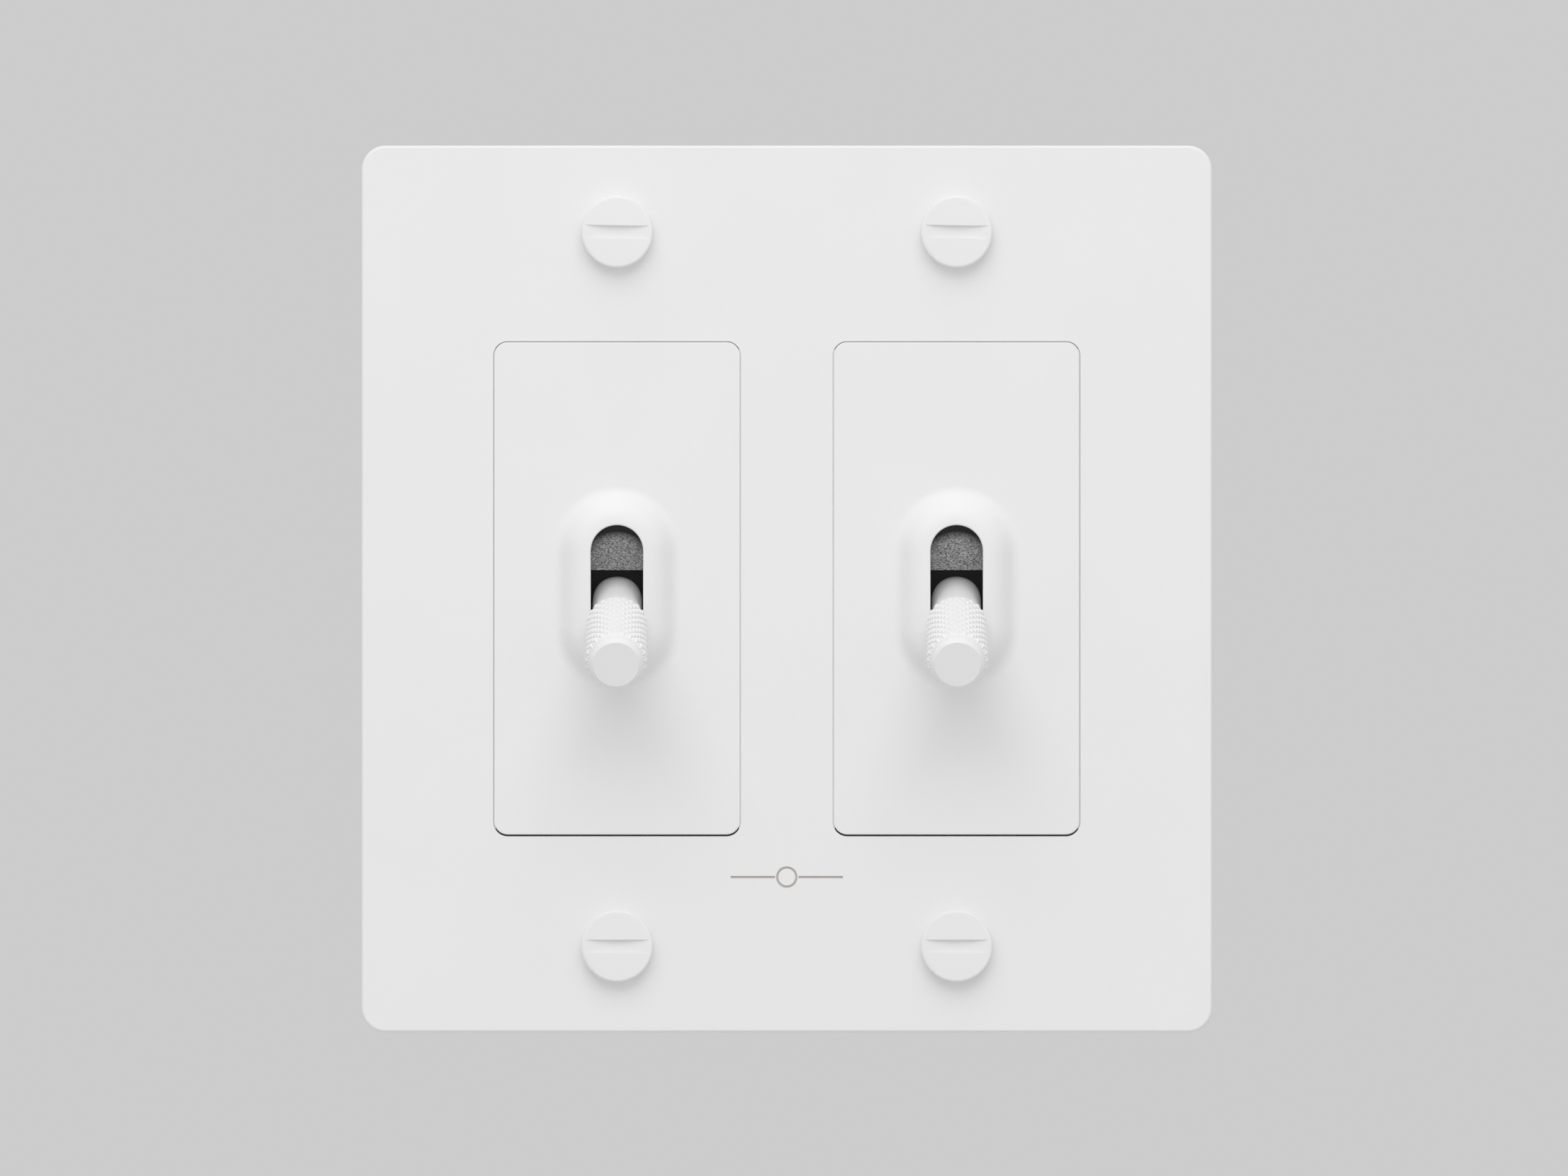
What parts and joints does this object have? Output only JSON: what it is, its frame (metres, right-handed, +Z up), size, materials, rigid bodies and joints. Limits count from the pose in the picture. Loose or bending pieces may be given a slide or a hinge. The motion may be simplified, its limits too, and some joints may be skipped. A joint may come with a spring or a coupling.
{
  "type": "toggle wall switch",
  "caption": "Wall switch with a round-cornered metal cover plate, knurled toggle levers in domed stadium slots, and coin-slot screws, on moulded switch modules.",
  "frame": {"origin": "centre of the cover plate's back, on the wall's surface", "axes": "+X to the right seen from the room, +Y into the wall, +Z up; the levers stick out to -Y"},
  "size_m": [0.1154, 0.0543, 0.1204],
  "materials": {
    "plate_paint": "white powder coat, matt, fine texture",
    "screw_paint": "white powder coat, matt",
    "panel_paint": "white powder coat, matt, fine texture",
    "lever_paint": "white powder coat on turned metal, satin",
    "dolly_black": "moulded black, leather grain on the wings",
    "pin_steel": "ground",
    "plunger_nylon": "natural nylon",
    "spring_steel": "drawn wire",
    "contact_copper": "pressed copper alloy",
    "contact_silver": "silver contact",
    "terminal_brass": "pressed brass",
    "terminal_screw_brass": "turned brass",
    "housing_base_plastic": "moulded, fine spark texture",
    "housing_cover_plastic": "moulded",
    "yoke_steel": "zinc plated, brushed",
    "ground_green": "green, dyed zinc",
    "screw_steel": "zinc plated",
    "retainer_fibre": "pressed fibre"
  },
  "bodies": {
    "switch_body": {"front_plate": "plate_paint", "plate_screws": "screw_paint", "face_panel_left": "panel_paint", "pivot_pin_left": "pin_steel", "fixed_contact_upper_left": "terminal_brass", "fixed_contact_lower_left": "terminal_brass", "common_terminal_left": "terminal_brass", "terminal_screws_left": "terminal_screw_brass", "housing_base_left": "housing_base_plastic", "housing_cover_left": "housing_cover_plastic", "yoke_left": "yoke_steel", "ground_screw_left": "ground_green", "module_screws_left": "screw_steel", "box_screws_left": "screw_steel", "screw_retainers_left": "retainer_fibre", "face_panel_right": "panel_paint", "pivot_pin_right": "pin_steel", "fixed_contact_upper_right": "terminal_brass", "fixed_contact_lower_right": "terminal_brass", "common_terminal_right": "terminal_brass", "terminal_screws_right": "terminal_screw_brass", "housing_base_right": "housing_base_plastic", "housing_cover_right": "housing_cover_plastic", "yoke_right": "yoke_steel", "ground_screw_right": "ground_green", "module_screws_right": "screw_steel", "box_screws_right": "screw_steel", "screw_retainers_right": "retainer_fibre"},
    "lever_left": {"dolly_left": "dolly_black", "lever_stem_left": "lever_paint", "lever_grip_left": "lever_paint", "lever_cap_left": "lever_paint", "plunger_spring_left": "spring_steel"},
    "plunger_left": {"plunger_left": "plunger_nylon"},
    "rocker_left": {"contact_rocker_left": "contact_copper", "moving_contacts_left": "contact_silver"},
    "lever_right": {"dolly_right": "dolly_black", "lever_stem_right": "lever_paint", "lever_grip_right": "lever_paint", "lever_cap_right": "lever_paint", "plunger_spring_right": "spring_steel"},
    "plunger_right": {"plunger_right": "plunger_nylon"},
    "rocker_right": {"contact_rocker_right": "contact_copper", "moving_contacts_right": "contact_silver"}
  },
  "joints": [
    {"name": "lever_left_tip", "type": "hinge", "parent": "switch_body", "child": "lever_left", "pos_m": [-0.02302, 0.0041, 0], "axis": [-1, 0, 0], "range_deg": [0, 37]},
    {"name": "rocker_left_rock", "type": "hinge", "parent": "switch_body", "child": "rocker_left", "pos_m": [-0.02302, 0.0171, 0], "axis": [-1, 0, 0], "range_deg": [-14, 0]},
    {"name": "plunger_left_slide", "type": "slide", "parent": "lever_left", "child": "plunger_left", "axis": [0, -0.9483, -0.3173], "range_m": [0, 0.001], "stiffness_N_per_m": 500, "springref_m": -0.004, "deforming": ["plunger_spring_left"]},
    {"name": "lever_right_tip", "type": "hinge", "parent": "switch_body", "child": "lever_right", "pos_m": [0.02302, 0.0041, 0], "axis": [-1, 0, 0], "range_deg": [0, 37]},
    {"name": "rocker_right_rock", "type": "hinge", "parent": "switch_body", "child": "rocker_right", "pos_m": [0.02302, 0.0171, 0], "axis": [-1, 0, 0], "range_deg": [-14, 0]},
    {"name": "plunger_right_slide", "type": "slide", "parent": "lever_right", "child": "plunger_right", "axis": [0, -0.9483, -0.3173], "range_m": [0, 0.001], "stiffness_N_per_m": 500, "springref_m": -0.004, "deforming": ["plunger_spring_right"]}
  ],
  "couplings": [
    {"joint": "rocker_left_rock", "follows": "lever_left_tip", "ratio": -0.3783},
    {"joint": "rocker_right_rock", "follows": "lever_right_tip", "ratio": -0.3783}
  ]
}
